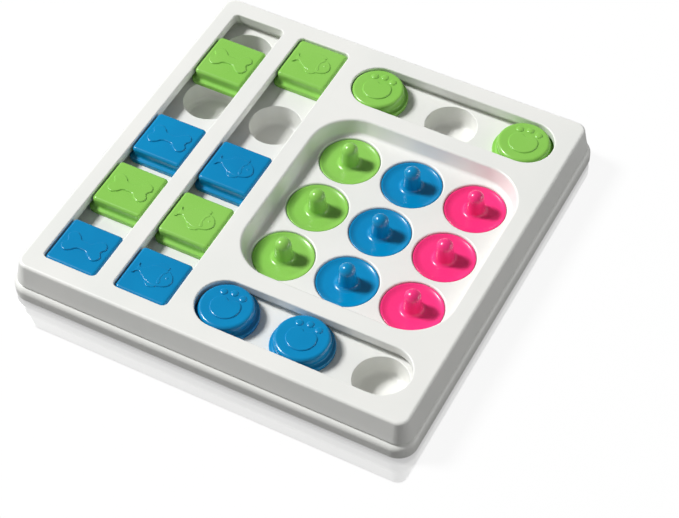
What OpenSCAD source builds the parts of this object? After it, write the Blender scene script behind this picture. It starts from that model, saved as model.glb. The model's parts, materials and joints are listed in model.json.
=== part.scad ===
/* [Board] */
// Width and depth of the board over the rim of the tray
board_w = 245; // [240:1:250]
// Height of the top face of the cover above the floor
face_h = 27; // [26:0.5:30]
// Step from the rim in to the edge of the top face
face_inset = 4.5; // [4:0.25:5]
// Corner radius of the top face
corner_r = 6.5; // [6:0.5:8]
// Rounding of the outer edge of the top face
edge_r = 2; // [1:0.25:2.5]
// How much the skirt widens from its top to its lower edge
skirt_flare = 2.6; // [2:0.1:2.9]
// Height of the ledge of the tray that the skirt stands over
seam_z = 12; // [11:0.5:13]
// Dark gap that shows between the skirt and the ledge
seam_gap = 0.3; // [0.2:0.05:0.5]
// Wall of the cover
cover_t = 2.2; // [1.8:0.1:2.4]
// Wall of the tray
tray_t = 2; // [1.6:0.1:2.2]
// Gap between the inside of the skirt and the edge of the deck
case_gap = 0.5; // [0.3:0.05:0.7]

/* [Rim and feet] */
// Rounding of the upper edge of the rim
rim_r = 1.6; // [1:0.1:1.8]
// Height of the lower edge of the rim above the floor
rim_z = 2; // [1.5:0.1:3]
// Distance of each foot from the two edges of the board
foot_inset = 15; // [14:0.5:16]
// Diameter of each rubber foot
foot_d = 10; // [8:0.5:10.5]
// Depth of the socket that each foot sits in
foot_socket = 1.2; // [0.8:0.1:1.6]
// Diameter of the stem that holds a foot in its post
stem_d = 3.6; // [3:0.2:4]
// Length of the stem above the head of the foot
stem_h = 4; // [3:0.5:6]

/* [Layout] */
// Depth of the channel and dish floors below the top face
floor_depth = 10; // [9.5:0.25:11]
// Width of the top face outside the openings, left and right
side_margin = 10.75; // [10.25:0.25:11.5]
// Width of the top face outside the openings, front and back
end_margin = 11.6; // [11.2:0.2:13]
// Width of the bars between neighbouring openings
bar_w = 11; // [10.5:0.25:11.5]
// Rounding of the upper edges of the channels
opening_r = 0.8; // [0.4:0.1:1]

/* [Channels] */
// Width of the two channels of square sliders
square_gap = 33.2; // [33:0.1:33.4]
// Width of the two channels of round sliders
round_gap = 32.2; // [32:0.1:32.6]
// Thickness of the lip that hangs down round each channel
lip_t = 1.8; // [1.4:0.1:2]
// Height of the lip from the top face down
lip_h = 5.6; // [5:0.1:5.8]
// Thickness of the guide ribs on the deck
rib_t = 1.6; // [1.2:0.1:1.8]
// Height of the guide ribs
rib_h = 3.8; // [3:0.2:4.4]

/* [Sliders] */
// Gap between a slider and the channel on each side
slide_gap = 0.75; // [0.6:0.05:0.85]
// Gap left at the ends of a channel when a slider is pushed home
stop_gap = 0.25; // [0.2:0.05:0.4]
// Corner radius of the square sliders
block_r = 2.4; // [2.2:0.2:3]
// Rounding of the upper edge of every slider
block_edge = 2; // [1.2:0.1:2.1]
// How far the tops of the sliders lie below the top face
block_drop = 0.8; // [0.7:0.1:1.2]
// How far the foot flange reaches out from the block
flange_step = 2.5; // [2.4:0.05:2.7]
// Thickness of the foot flange
flange_t = 2.9; // [2.4:0.1:3.2]
// Hollow rounding where the block rises out of the foot flange
flange_fillet = 1.4; // [0.8:0.1:1.4]
// Rounding of the upper edge of the foot flange
flange_edge = 0.9; // [0.5:0.1:0.9]
// Gap between the foot flange and the guide ribs
pocket_gap = 0.9; // [0.6:0.1:1]
// Gap between the foot flange and the deck
glide_gap = 0.1; // [0.05:0.05:0.3]
// Wall of the hollow sliders
slider_t = 1.8; // [1.4:0.1:2]
// Free room in front of each of the first three bone sliders
bone_room = [0, 11.159, 5.741]; // [0:0.001:14]
// Free room behind the last bone slider
bone_last = 19.866; // [0:0.001:25]
// Free room in front of each of the first three fish sliders
fish_room = [0, 8.45, 6.644]; // [0:0.001:14]
// Free room behind the last fish slider
fish_last = 0; // [0:0.001:25]
// Free room to the left of each of the two paw sliders at the front
paw_front_room = [1.661, 10.089]; // [0:0.001:25]
// Free room between the paw sliders at the back and the left and right ends
paw_back_room = [0, 1.898]; // [0:0.001:25]

/* [Figures] */
// Height of the raised figures
relief_h = 0.7; // [0.5:0.1:0.75]
// Width of the sloping edge of the figures
relief_slope = 0.5; // [0.2:0.1:0.6]
// Distance between the knuckles at the two ends of the bone
bone_l = 16.8; // [15:0.2:17.6]
// Distance between the two knuckles at one end of the bone
bone_w = 6.4; // [6:0.2:7]
// Diameter of the knuckles
knuckle_d = 7.8; // [7:0.2:8.4]
// Width of the shaft of the bone
shaft_w = 6.4; // [5:0.2:7]
// Length of the body of the fish
fish_l = 21.4; // [20:0.2:22]
// Width of the body of the fish
fish_w = 14; // [12:0.2:15]
// Length of the tail behind the body
tail_l = 4.6; // [4:0.2:5]
// Width of the tail at its end
tail_w = 9.6; // [8:0.2:11]
// Length of the fins along the body
fin_l = 8.4; // [7:0.2:9]
// How far the fins stand out from the body
fin_w = 2; // [1.4:0.2:2.6]
// Height of the tail and the fins
fin_h = 0.4; // [0.3:0.05:0.45]
// Diameter of the eye of the fish
eye_d = 1.8; // [1.4:0.1:2.2]
// Distance of the gill and the eye from the middle of the body
gill_x = 3.4; // [3:0.1:4]
// Width of the groove of the gill
gill_w = 0.7; // [0.5:0.1:0.9]
// Depth of the groove of the gill and of the eye
gill_h = 0.35; // [0.2:0.05:0.4]
// Diameter of the pad of the paw
pad_d = 15.6; // [14:0.2:16.4]
// How far the pad lies in front of the middle of the slider
pad_y = 2.4; // [2:0.1:3]
// Diameter of the toes
toe_d = 4.6; // [4:0.1:5]
// Distance of the toes from the middle of the pad
toe_reach = 11.6; // [11:0.1:12]
// Turn from one toe to the next
toe_turn = 30; // [27:1:33]

/* [Cups] */
// Inner diameter of the treat cups under the sliders
cup_d = 30.6; // [29:0.1:31]
// Wall of the cups
cup_t = 1.6; // [1.2:0.1:1.8]
// Rounding at the floor of the cups
cup_r = 3; // [1.5:0.25:4]
// Height of the inner floor of the cups above the ground
cup_floor = 2.8; // [2.6:0.1:4]
// Distance between the last cups of a square channel and its ends
square_cup_end = 2.3; // [1.8:0.1:3]
// Distance between the last cups of a round channel and its ends
round_cup_end = 1.45; // [1:0.05:2.2]

/* [Dish] */
// Corner radius of the dish at the top face
dish_r = 26; // [24:0.5:27]
// How far the walls of the dish lean in from top to floor
dish_lean = 2.5; // [1.5:0.1:3]
// Rounding where the walls meet the floor of the dish
dish_fillet = 2; // [1:0.25:3]
// Rounding of the upper edge of the dish
dish_edge = 1.5; // [0.5:0.25:2]
// Thickness of the floor of the dish
dish_t = 3; // [2.8:0.1:3.4]
// Gap round the dish where it drops into the deck
dish_gap = 0.6; // [0.4:0.1:1]

/* [Lids] */
// Distance between the lids and the upper edge of the dish
lid_margin = 6.35; // [6:0.05:6.8]
// Distance between neighbouring lids
lid_space = 4.8; // [4.4:0.1:5.2]
// Width of the ledge that the rim of a lid rests on
lid_ledge = 2; // [1.8:0.1:2.2]
// Gap round a lid in its seat
lid_gap = 0.4; // [0.3:0.05:0.5]
// Rounding of the upper edge of the seat of a lid
seat_r = 1; // [0.4:0.1:1]
// Thickness of the rim of a lid
lid_t = 1.4; // [1.2:0.1:1.5]
// Width of the flat rim of a lid
lid_rim = 0.8; // [0.6:0.1:1.2]
// Rounding of the outer edge of that rim
lid_edge = 0.3; // [0.1:0.1:0.4]
// How far the rim of a lid lies below the floor of the dish
lid_drop = 0.8; // [0.6:0.1:0.9]
// Depth of the hollow in the top of a lid
lid_hollow = 1; // [0.6:0.1:1.1]
// How far the arc of the slope from rim to floor, run on, would pass into the side of the knob
lid_arc_run = 0.07298; // [0:0.00001:0.2]
// Thickness of that floor
lid_floor = 0.9; // [0.7:0.1:1.1]
// Diameter of the knob of a lid
knob_d = 9.4; // [8:0.2:11]
// Height of the knob above the rim of the lid
knob_h = 13.8; // [11:0.2:15]
// Rounding at the root of the knob
knob_r = 2.4; // [1.5:0.1:3]
// Wall of the hollow knob
knob_t = 1.6; // [1.2:0.1:2]
// Depth of the ring that keeps a lid in its cup
spigot_h = 1.6; // [1.2:0.1:1.8]
// Wall of that ring
spigot_t = 1.2; // [0.9:0.1:1.4]
// Gap between that ring and the cup
spigot_gap = 0.4; // [0.3:0.05:0.6]

/* [Screws] */
// Diameter of the case screws
screw_d = 2.6; // [2.4:0.1:2.8]
// Length of a case screw under its head
screw_l = 8; // [6:0.5:9]
// Diameter of the heads of the case screws
screw_head_d = 5; // [4.6:0.1:5.4]
// Height of the heads of the case screws
screw_head_h = 1.8; // [1.4:0.1:2]
// Gap round a screw in its holes
screw_gap = 0.15; // [0.1:0.05:0.2]
// Diameter of the bosses that the screws go into
boss_d = 5.4; // [5:0.1:5.6]
// Gap that is left in the guide ribs round a boss
boss_gap = 0.6; // [0.4:0.1:0.8]

/* [Hidden] */
$fn = 72;
bite = 1;
white_plastic = "#EDECE9";
green_plastic = "#86CB4A";
blue_plastic = "#0E8AC0";
pink_plastic = "#F8327C";
grey_rubber = "#8A8C8E";
zinc_steel = "#B9BCC0";

// Outline of the top face and its corner centres
face_x = board_w / 2 - face_inset;
corner_c = face_x - corner_r;
rim_u = board_w / 2 - corner_c;
skirt_z = seam_z + seam_gap;
skirt_top_z = face_h - edge_r;

// Levels
floor_z = face_h - floor_depth;
dish_z = floor_z - dish_t;
block_z = face_h - block_drop;
flange_z = floor_z + glide_gap;
lid_z = floor_z - lid_drop;
seat_z = lid_z - lid_t;

// Places of the openings
open_x = face_x - side_margin;
open_y = face_x - end_margin;
bone_x = -open_x + square_gap / 2;
fish_x = bone_x + square_gap + bar_w;
dish_x0 = fish_x + square_gap / 2 + bar_w;
dish_hx = (open_x - dish_x0) / 2;
dish_x = (open_x + dish_x0) / 2;
paw_y = open_y - round_gap / 2;
dish_hy = open_y - round_gap - bar_w;

// Cups are spaced by the room in their channel, lids by the width of the dish
square_pitch = (open_y - square_cup_end - cup_d / 2) / 2;
round_pitch = dish_hx - round_cup_end - cup_d / 2;
lid_pitch = (2 * (dish_hx - lid_margin) + lid_space) / 3;
lid_d = lid_pitch - lid_space;
lid_cup_d = lid_d - 2 * lid_ledge;

// Sliders and their travel from the middle of a channel
square_half = square_gap / 2 - slide_gap;
round_half = round_gap / 2 - slide_gap;
square_travel = open_y - square_half - stop_gap;
round_travel = dish_hx - round_half - stop_gap;
pocket_step = flange_step + pocket_gap;
square_long = 2 * (square_half + flange_step);
round_long = 2 * (round_half + flange_step);

// Place of slider i of a row that starts at the low end of its channel
function row_place(i, room, long, travel) =
    -travel + room[0] + (i > 0 ? long + room[1] : 0) + (i > 1 ? long + room[2] : 0);

bone_places = concat(
    [for (i = [0 : 2]) row_place(i, bone_room, square_long, square_travel)],
    [square_travel - bone_last]
);
fish_places = concat(
    [for (i = [0 : 2]) row_place(i, fish_room, square_long, square_travel)],
    [square_travel - fish_last]
);
paw_places = concat(
    [for (i = [0 : 1]) row_place(i, paw_front_room, round_long, round_travel)],
    [paw_back_room[0] - round_travel, round_travel - paw_back_room[1]]
);

// Edge of the deck, just inside the skirt at the height of the deck
deck_u = corner_r + skirt_out(floor_z) - cover_t - case_gap;
foot_c = board_w / 2 - foot_inset;
foot_post_d = foot_d + 2;

// How far the skirt has widened at height z
function skirt_out(z) = skirt_flare * (skirt_top_z - z) / (skirt_top_z - skirt_z);

// Centres of the cups in each part of the board
square_cups = [for (x = [bone_x, fish_x], k = [-2 : 2]) [x, k * square_pitch]];
round_cups = [for (y = [-paw_y, paw_y], k = [-1 : 1]) [dish_x + k * round_pitch, y]];
lid_cups = [for (i = [-1 : 1], j = [1, 0, -1]) [dish_x + i * lid_pitch, j * lid_pitch]];

// Screws stand on the bar between the square channels and at the corners of the dish
bar_x = (bone_x + fish_x) / 2;
screw_places = concat(
    [for (s = [-1, 1]) [bar_x, s * 1.5 * square_pitch]],
    [for (x = [dish_x0, open_x], s = [-1, 1]) [x, s * dish_hy]]
);

// Sweep a profile, drawn as (outwards, height), round a rectangle of corner centres
module sweep_round(half_x, half_y) {
    for (k = [0 : 3]) {
        across = k % 2 == 0 ? half_x : half_y;
        along = k % 2 == 0 ? half_y : half_x;
        rotate([0, 0, 90 * k])
            translate([across, along, 0])
                rotate_extrude(angle = 90)
                    children();
        if (along > 0)
            rotate([0, 0, 90 * k])
                translate([across, along, 0])
                    rotate([90, 0, 0])
                        linear_extrude(height = 2 * along)
                            children();
    }
}

// The block between the corner centres that such a sweep leaves open
module middle(half_x, half_y, low, high) {
    if (half_x > 0 && half_y > 0)
        translate([-half_x, -half_y, low])
            cube([2 * half_x, 2 * half_y, high - low]);
}

// A flat-sided slab with rounded corners, of corner radius r
module slab(half_x, half_y, r, low, high) {
    sweep_round(half_x - r, half_y - r)
        translate([0, low])
            square([r, high - low]);
    middle(half_x - r, half_y - r, low, high);
}

// A ring of the same outline, from radius r_in to r_out round the corner centres
module ring(half_x, half_y, r_in, r_out, low, high) {
    sweep_round(half_x, half_y)
        translate([r_in, low])
            square([r_out - r_in, high - low]);
}

// The sliver outside a quarter round: turn 0 has its sharp corner at +x +y
module round_corner(r, turn) {
    rotate(turn)
        difference() {
            translate([-r, -r])
                square(r + bite / 10);
            translate([-r, -r])
                circle(r);
        }
}

// Cutter in section: half width w up to a mouth of rounding r at height top
module mouth_section(w, r, low, top) {
    difference() {
        translate([0, low])
            square([w + r, top + bite - low]);
        translate([w, low - bite])
            square([r + bite, top - r - low + bite]);
        translate([w + r, top - r])
            circle(r);
    }
}

// Cutter for an opening with a rounded upper edge, from height low upwards
module opening_cut(half_x, half_y, r, low) {
    sweep_round(half_x - r, half_y - r)
        mouth_section(r, opening_r, low, face_h);
    middle(half_x - r, half_y - r, low, face_h + bite);
}

// Tray

// Wall, ledge and rolled rim of the tray in section
module tray_edge() {
    difference() {
        union() {
            translate([deck_u - tray_t, rim_z])
                square([tray_t, floor_z - rim_z]);
            translate([deck_u - bite / 2, rim_z])
                square([rim_u - deck_u + bite / 2, seam_z - rim_z]);
        }
        translate([deck_u, rim_z - bite])
            square([rim_u - tray_t - deck_u, seam_z - tray_t - rim_z + bite]);
        translate([rim_u, seam_z])
            round_corner(rim_r, 0);
        translate([rim_u, rim_z])
            round_corner(rim_r / 2, -90);
    }
}

// Hollow of a cup of diameter d, with a rounded floor
module cup_hollow(d, top) {
    rotate_extrude()
        difference() {
            translate([0, cup_floor])
                square([d / 2, top - cup_floor]);
            translate([d / 2, cup_floor])
                round_corner(cup_r, -90);
        }
}

// Outside of a cup of inner diameter d
module cup_shell(d, top) {
    translate([0, 0, cup_floor - cup_t])
        cylinder(r = d / 2 + cup_t, h = top - tray_t / 2 - cup_floor + cup_t);
}

module base_tray() {
    color(white_plastic)
        difference() {
            union() {
                sweep_round(corner_c, corner_c)
                    tray_edge();
                slab(corner_c + deck_u - bite, corner_c + deck_u - bite, deck_u - bite,
                    floor_z - tray_t, floor_z);
                translate([dish_x, 0, 0])
                    slab(dish_hx + dish_gap + tray_t, dish_hy + dish_gap + tray_t,
                        dish_r + dish_gap + tray_t, dish_z - tray_t, floor_z - tray_t / 2);
                for (p = concat(square_cups, round_cups))
                    translate([p[0], p[1], 0])
                        cup_shell(cup_d, floor_z);
                for (p = lid_cups)
                    translate([p[0], p[1], 0])
                        cup_shell(lid_cup_d, dish_z);
                for (x = [bone_x, fish_x])
                    translate([x, 0, 0])
                        guide_rib(square_half + pocket_step, open_y - slide_gap + pocket_step,
                            block_r + pocket_step);
                for (y = [-paw_y, paw_y])
                    translate([dish_x, y, 0])
                        guide_rib(dish_hx - slide_gap + pocket_step, round_half + pocket_step,
                            round_half + pocket_step);
                for (sx = [-1, 1], sy = [-1, 1])
                    translate([sx * foot_c, sy * foot_c, rim_z])
                        cylinder(d = foot_post_d, h = floor_z - tray_t / 2 - rim_z);
            }
            translate([dish_x, 0, 0])
                slab(dish_hx + dish_gap, dish_hy + dish_gap, dish_r + dish_gap,
                    dish_z, floor_z + bite);
            for (p = concat(square_cups, round_cups))
                translate([p[0], p[1], 0])
                    cup_hollow(cup_d, floor_z + bite);
            for (p = lid_cups)
                translate([p[0], p[1], 0])
                    cup_hollow(lid_cup_d, dish_z + bite);
            for (p = screw_places)
                translate([p[0], p[1], dish_z - bite])
                    cylinder(d = screw_d + 2 * screw_gap, h = dish_t + 2 * bite);
            for (s = [-1, 1])
                translate([bar_x, s * 1.5 * square_pitch, floor_z])
                    cylinder(d = boss_d + 2 * boss_gap, h = rib_h + bite);
            for (sx = [-1, 1], sy = [-1, 1])
                translate([sx * foot_c, sy * foot_c, rim_z - bite]) {
                    cylinder(d = foot_d + 2 * screw_gap, h = foot_socket + bite);
                    cylinder(d = stem_d + 2 * screw_gap, h = foot_socket + stem_h + 2 * bite);
                }
        }
}

// Low wall on the deck round the pocket that the foot flanges of a row of sliders run in
module guide_rib(half_x, half_y, r) {
    ring(half_x - r, half_y - r, r, r + rib_t, floor_z - tray_t / 2, floor_z + rib_h);
}

// Cover

// Plate and drafted skirt of the cover in section
module cover_edge() {
    difference() {
        polygon([
            [0, face_h], [corner_r, face_h], [corner_r, skirt_top_z],
            [corner_r + skirt_flare, skirt_z], [corner_r + skirt_flare - cover_t, skirt_z],
            [corner_r - cover_t, face_h - cover_t], [0, face_h - cover_t]
        ]);
        translate([corner_r, face_h])
            round_corner(edge_r, 0);
    }
}

// Inside of the dish in section, with a rounded floor and a rounded upper edge
module dish_section() {
    low = dish_r - dish_lean;
    wall = sqrt(dish_lean * dish_lean + floor_depth * floor_depth);
    edge_x = dish_r + dish_edge * (wall - dish_lean) / floor_depth;
    edge_z = face_h - dish_edge;
    difference() {
        polygon([
            [0, floor_z], [low, floor_z],
            [edge_x - dish_edge * floor_depth / wall, edge_z + dish_edge * dish_lean / wall],
            [edge_x, face_h], [edge_x, face_h + bite], [0, face_h + bite]
        ]);
        translate([edge_x, edge_z])
            circle(dish_edge);
        translate([low, floor_z])
            round_corner(dish_fillet, -90);
    }
}

// Outside of the dish in section, one wall thickness away
module dish_shell_section() {
    low = dish_r - dish_lean + cover_t;
    polygon([
        [0, dish_z], [low, dish_z], [low, floor_z],
        [dish_r + cover_t, face_h - cover_t / 2], [0, face_h - cover_t / 2]
    ]);
}

module top_cover() {
    color(white_plastic)
        difference() {
            union() {
                sweep_round(corner_c, corner_c)
                    cover_edge();
                middle(corner_c, corner_c, face_h - cover_t, face_h);
                for (x = [bone_x, fish_x])
                    translate([x, 0, 0])
                        slab(square_gap / 2 + lip_t, open_y + lip_t,
                            block_r + slide_gap + lip_t, face_h - lip_h, face_h - cover_t / 2);
                for (y = [-paw_y, paw_y])
                    translate([dish_x, y, 0])
                        slab(dish_hx + lip_t, round_gap / 2 + lip_t,
                            round_gap / 2 + lip_t, face_h - lip_h, face_h - cover_t / 2);
                translate([dish_x, 0, 0]) {
                    sweep_round(dish_hx - dish_r, dish_hy - dish_r)
                        dish_shell_section();
                    middle(dish_hx - dish_r, dish_hy - dish_r, dish_z, face_h - cover_t / 2);
                }
                for (p = screw_places)
                    translate([p[0], p[1], floor_z])
                        cylinder(d = boss_d, h = floor_depth - cover_t / 2);
            }
            for (x = [bone_x, fish_x])
                translate([x, 0, 0])
                    opening_cut(square_gap / 2, open_y, block_r + slide_gap, face_h - lip_h - bite);
            for (y = [-paw_y, paw_y])
                translate([dish_x, y, 0])
                    opening_cut(dish_hx, round_gap / 2, round_gap / 2, face_h - lip_h - bite);
            translate([dish_x, 0, 0]) {
                sweep_round(dish_hx - dish_r, dish_hy - dish_r)
                    dish_section();
                middle(dish_hx - dish_r, dish_hy - dish_r, floor_z, face_h + bite);
            }
            for (p = lid_cups)
                translate([p[0], p[1], 0]) {
                    rotate_extrude()
                        mouth_section(lid_d / 2 + lid_gap, seat_r, seat_z, floor_z);
                    translate([0, 0, dish_z - bite])
                        cylinder(d = lid_cup_d, h = dish_t + bite);
                }
            for (p = screw_places)
                translate([p[0], p[1], floor_z - bite])
                    cylinder(d = screw_d + 2 * screw_gap, h = screw_l - tray_t + 2 * bite);
        }
}

// Sliders

// Block and foot flange in section: r is the block's corner radius
module slider_section(r) {
    step_z = flange_z + flange_t;
    difference() {
        polygon([
            [0, flange_z], [r + flange_step, flange_z], [r + flange_step, step_z],
            [r + flange_fillet, step_z], [r, step_z + flange_fillet], [r, block_z], [0, block_z]
        ]);
        translate([r, block_z])
            round_corner(block_edge, 0);
        translate([r + flange_fillet, step_z + flange_fillet])
            circle(flange_fillet);
        translate([r + flange_step, step_z])
            round_corner(flange_edge, 0);
        translate([-bite, flange_z - bite])
            square([r - slider_t + bite, block_z - slider_t - flange_z + bite]);
    }
}

// Hollow square slider
module square_slider() {
    side = square_half - block_r;
    sweep_round(side, side)
        slider_section(block_r);
    middle(side, side, block_z - slider_t, block_z);
}

// Hollow round slider
module round_slider() {
    rotate_extrude()
        slider_section(round_half);
}

// Raised figures, drawn on the height of the top of a slider

// Edge of a figure in section: half width w, with a sloping edge
module relief_section(w) {
    polygon([
        [0, -bite / 2], [w, -bite / 2], [w, relief_h - relief_slope], [w - relief_slope, relief_h],
        [0, relief_h]
    ]);
}

module relief_disc(r) {
    rotate_extrude()
        relief_section(r);
}

// Bone: a shaft between two pairs of round knuckles
module bone_figure() {
    for (s = [0, 180])
        rotate([0, 0, s]) {
            translate([-bone_l / 2, 0, 0])
                rotate([90, 0, 90])
                    linear_extrude(height = bone_l)
                        relief_section(shaft_w / 2);
            for (t = [-1, 1])
                translate([bone_l / 2, t * bone_w / 2, 0])
                    relief_disc(knuckle_d / 2);
        }
}

// Fish: a body of two arcs with its head to the right, with a tail, two fins, a gill and an eye
module fish_figure() {
    arc = (fish_l * fish_l + fish_w * fish_w) / (4 * fish_w);
    tail_x = -fish_l / 2;
    fin_y = fish_w / 2;
    translate([tail_l / 2, 0, 0])
        difference() {
            union() {
                intersection_for(s = [-1, 1])
                    translate([0, s * (arc - fish_w / 2), 0])
                        relief_disc(arc);
                translate([0, 0, -bite / 2])
                    linear_extrude(height = fin_h + bite / 2) {
                        polygon([
                            [tail_x * 0.6, 0], [tail_x - tail_l, tail_w / 2],
                            [tail_x - 0.7 * tail_l, 0], [tail_x - tail_l, -tail_w / 2]
                        ]);
                        for (s = [-1, 1])
                            polygon([
                                [-0.7 * fin_l, s * 0.5 * fin_y], [-0.3 * fin_l, s * (fin_y + fin_w)],
                                [0.3 * fin_l, s * 0.8 * fin_y]
                            ]);
                    }
            }
            translate([gill_x - fish_w / 2, 0, relief_h - gill_h])
                rotate([0, 0, -35])
                    rotate_extrude(angle = 70)
                        translate([fish_w / 2 - gill_w, 0])
                            square([gill_w, bite]);
            translate([gill_x + eye_d, eye_d / 2, relief_h - gill_h])
                cylinder(d = eye_d, h = bite);
        }
}

// Paw: a broad pad and three round toes
module paw_figure() {
    translate([0, -pad_y, 0]) {
        relief_disc(pad_d / 2);
        for (t = [-1, 0, 1])
            rotate([0, 0, t * toe_turn])
                translate([0, toe_reach, 0])
                    relief_disc(toe_d / 2);
    }
}

module bone_slider(i) {
    color(i % 2 == 0 ? blue_plastic : green_plastic)
        translate([bone_x, bone_places[i], 0]) {
            square_slider();
            translate([0, 0, block_z])
                bone_figure();
        }
}

module fish_slider(i) {
    color(i % 2 == 0 ? blue_plastic : green_plastic)
        translate([fish_x, fish_places[i], 0]) {
            square_slider();
            translate([0, 0, block_z])
                fish_figure();
        }
}

module paw_slider(i) {
    back = i > 1;
    color(back ? green_plastic : blue_plastic)
        translate([dish_x + paw_places[i], back ? paw_y : -paw_y, 0]) {
            round_slider();
            translate([0, 0, block_z])
                paw_figure();
        }
}

// Lids

// Section of a lid: rim, shallow hollow, knob with a domed top, ring below
module lid_section() {
    edge = lid_d / 2;
    knob = knob_d / 2;
    top = lid_z + knob_h;
    low = lid_z - lid_hollow;
    under = low - lid_floor;
    ring_out = lid_cup_d / 2 - spigot_gap;
    room = edge - lid_rim - knob + lid_arc_run;
    bowl_r = room + lid_hollow - sqrt(2 * room * lid_hollow);
    bowl_x = edge - lid_rim - sqrt(lid_hollow * (2 * bowl_r - lid_hollow));
    difference() {
        union() {
            polygon([
                [0, under], [ring_out, under], [ring_out, seat_z], [edge, seat_z], [edge, lid_z],
                [edge - lid_rim, lid_z], [bowl_x, low], [knob + knob_r, low], [knob, low + knob_r],
                [knob, top - knob], [0, top - knob]
            ]);
            intersection() {
                translate([0, top - knob])
                    circle(knob);
                translate([0, top - knob - bite])
                    square([knob, knob + bite]);
            }
            translate([ring_out - spigot_t, seat_z - spigot_h])
                square([spigot_t, spigot_h]);
        }
        translate([edge, lid_z])
            round_corner(lid_edge, 0);
        translate([bowl_x, low + bowl_r])
            circle(bowl_r);
        translate([knob + knob_r, low + knob_r])
            circle(knob_r);
        translate([-bite, under - bite])
            square([knob - knob_t + bite, top - knob - under + bite]);
    }
}

module treat_lid(i) {
    column = floor(i / 3);
    color(column == 0 ? green_plastic : column == 1 ? blue_plastic : pink_plastic)
        translate([lid_cups[i][0], lid_cups[i][1], 0])
            rotate_extrude()
                lid_section();
}

// Feet and screws

module rubber_feet() {
    color(grey_rubber)
        for (sx = [-1, 1], sy = [-1, 1])
            translate([sx * foot_c, sy * foot_c, 0]) {
                cylinder(d = foot_d, h = rim_z + foot_socket);
                cylinder(d = stem_d, h = rim_z + foot_socket + stem_h);
            }
}

module case_screws() {
    color(zinc_steel)
        for (p = screw_places)
            translate([p[0], p[1], floor_z - tray_t - screw_head_h]) {
                cylinder(d = screw_head_d, h = screw_head_h);
                cylinder(d = screw_d, h = screw_head_h + screw_l);
            }
}

base_tray();
top_cover();
rubber_feet();
case_screws();
for (i = [0 : 3]) {
    bone_slider(i);
    fish_slider(i);
    paw_slider(i);
}
for (i = [0 : 8])
    treat_lid(i);
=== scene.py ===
# %% [markdown]
# # A puzzle board that hides dry treats
# The board is a square white case, 245 mm wide and 30 mm high over its knobs. Two channels hold
# square sliding blocks, two hold round ones, and a sunken dish holds nine lids with knobs.
# This script loads the measured model of the board, makes a finely rounded visual piece for
# every part of it, gives each one a finish, and sets up the light and the camera.

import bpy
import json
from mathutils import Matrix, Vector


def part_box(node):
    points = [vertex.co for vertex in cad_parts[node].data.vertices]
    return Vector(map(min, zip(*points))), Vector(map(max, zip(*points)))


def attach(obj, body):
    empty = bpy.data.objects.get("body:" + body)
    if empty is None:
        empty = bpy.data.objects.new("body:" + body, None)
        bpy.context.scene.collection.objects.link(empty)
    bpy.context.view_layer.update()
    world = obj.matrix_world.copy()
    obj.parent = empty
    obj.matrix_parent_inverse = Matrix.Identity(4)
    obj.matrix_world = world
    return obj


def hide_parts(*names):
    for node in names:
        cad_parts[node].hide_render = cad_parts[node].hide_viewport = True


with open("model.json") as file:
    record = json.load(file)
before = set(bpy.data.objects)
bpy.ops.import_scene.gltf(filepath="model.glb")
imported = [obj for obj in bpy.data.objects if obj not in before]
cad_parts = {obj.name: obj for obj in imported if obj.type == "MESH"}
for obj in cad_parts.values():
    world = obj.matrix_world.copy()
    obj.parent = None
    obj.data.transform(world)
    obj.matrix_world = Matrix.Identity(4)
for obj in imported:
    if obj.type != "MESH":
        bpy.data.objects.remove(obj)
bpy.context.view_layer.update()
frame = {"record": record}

# %% [markdown]
# ## Millimetres
# Moulds are drawn in millimetres and Blender's unit is the metre. Every shape below is drawn in
# millimetres, where the numbers are easy to read, and is scaled once, when its mesh is finished.

# %% Units and the places of the measured parts
import json
import math

import bmesh
import bpy
from mathutils import Matrix, Vector

MM = 0.001


def middle_of(node):
    """Centre of a measured part, in millimetres."""
    low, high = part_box(node)
    return (low + high) / 2 / MM


bone_x = middle_of("bone_slider_1").x
fish_x = middle_of("fish_slider_1").x
dish_x = middle_of("treat_lid_5").x
paw_y = middle_of("paw_slider_4").y
print(f"square channels at x {bone_x:.2f} and {fish_x:.2f}, round ones at y {paw_y:.2f} and {-paw_y:.2f}")
print(f"middle of the dish at x {dish_x:.2f}")

# %% [markdown]
# ## Colours
# Paint and plastic are picked as sRGB hex values, the way a colour chart gives them. Blender's
# shaders want linear light, so one function turns a hex value into linear numbers.


# %% From a hex value to linear light
def linear(hex_colour):
    """Linear red, green, blue and alpha of an sRGB hex value such as #EBECE8."""
    parts = [int(hex_colour[i:i + 2], 16) / 255 for i in (1, 3, 5)]
    return [p / 12.92 if p <= 0.04045 else ((p + 0.055) / 1.055) ** 2.4 for p in parts] + [1.0]


WHITE = (1, 1, 1, 1)
print("white plastic in linear light:", [round(c, 3) for c in linear("#EBECE8")])

# %% [markdown]
# ## Shader nodes
# A finish is a small graph of nodes. One helper adds a node of any kind, sets what it is told
# and links its sockets, so that a material reads like a recipe from top to bottom. Another one
# clears away the nodes that Blender puts into each new graph.


# %% The helpers for shader nodes
def empty_graph(owner):
    """Turn on the node graph of a material or a world, and empty it."""
    owner.use_nodes = True
    owner.node_tree.nodes.clear()
    return owner.node_tree


def add(tree, kind, feeds=(), **settings):
    """Add a node. feeds gives sockets by name or number, each a plain value or another socket."""
    made = tree.nodes.new(kind)
    for name, value in settings.items():
        setattr(made, name, value)
    for name, value in dict(feeds).items():
        if isinstance(value, bpy.types.NodeSocket):
            tree.links.new(value, made.inputs[name])
        else:
            made.inputs[name].default_value = value
    return made


print("node helpers ready")

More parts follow.
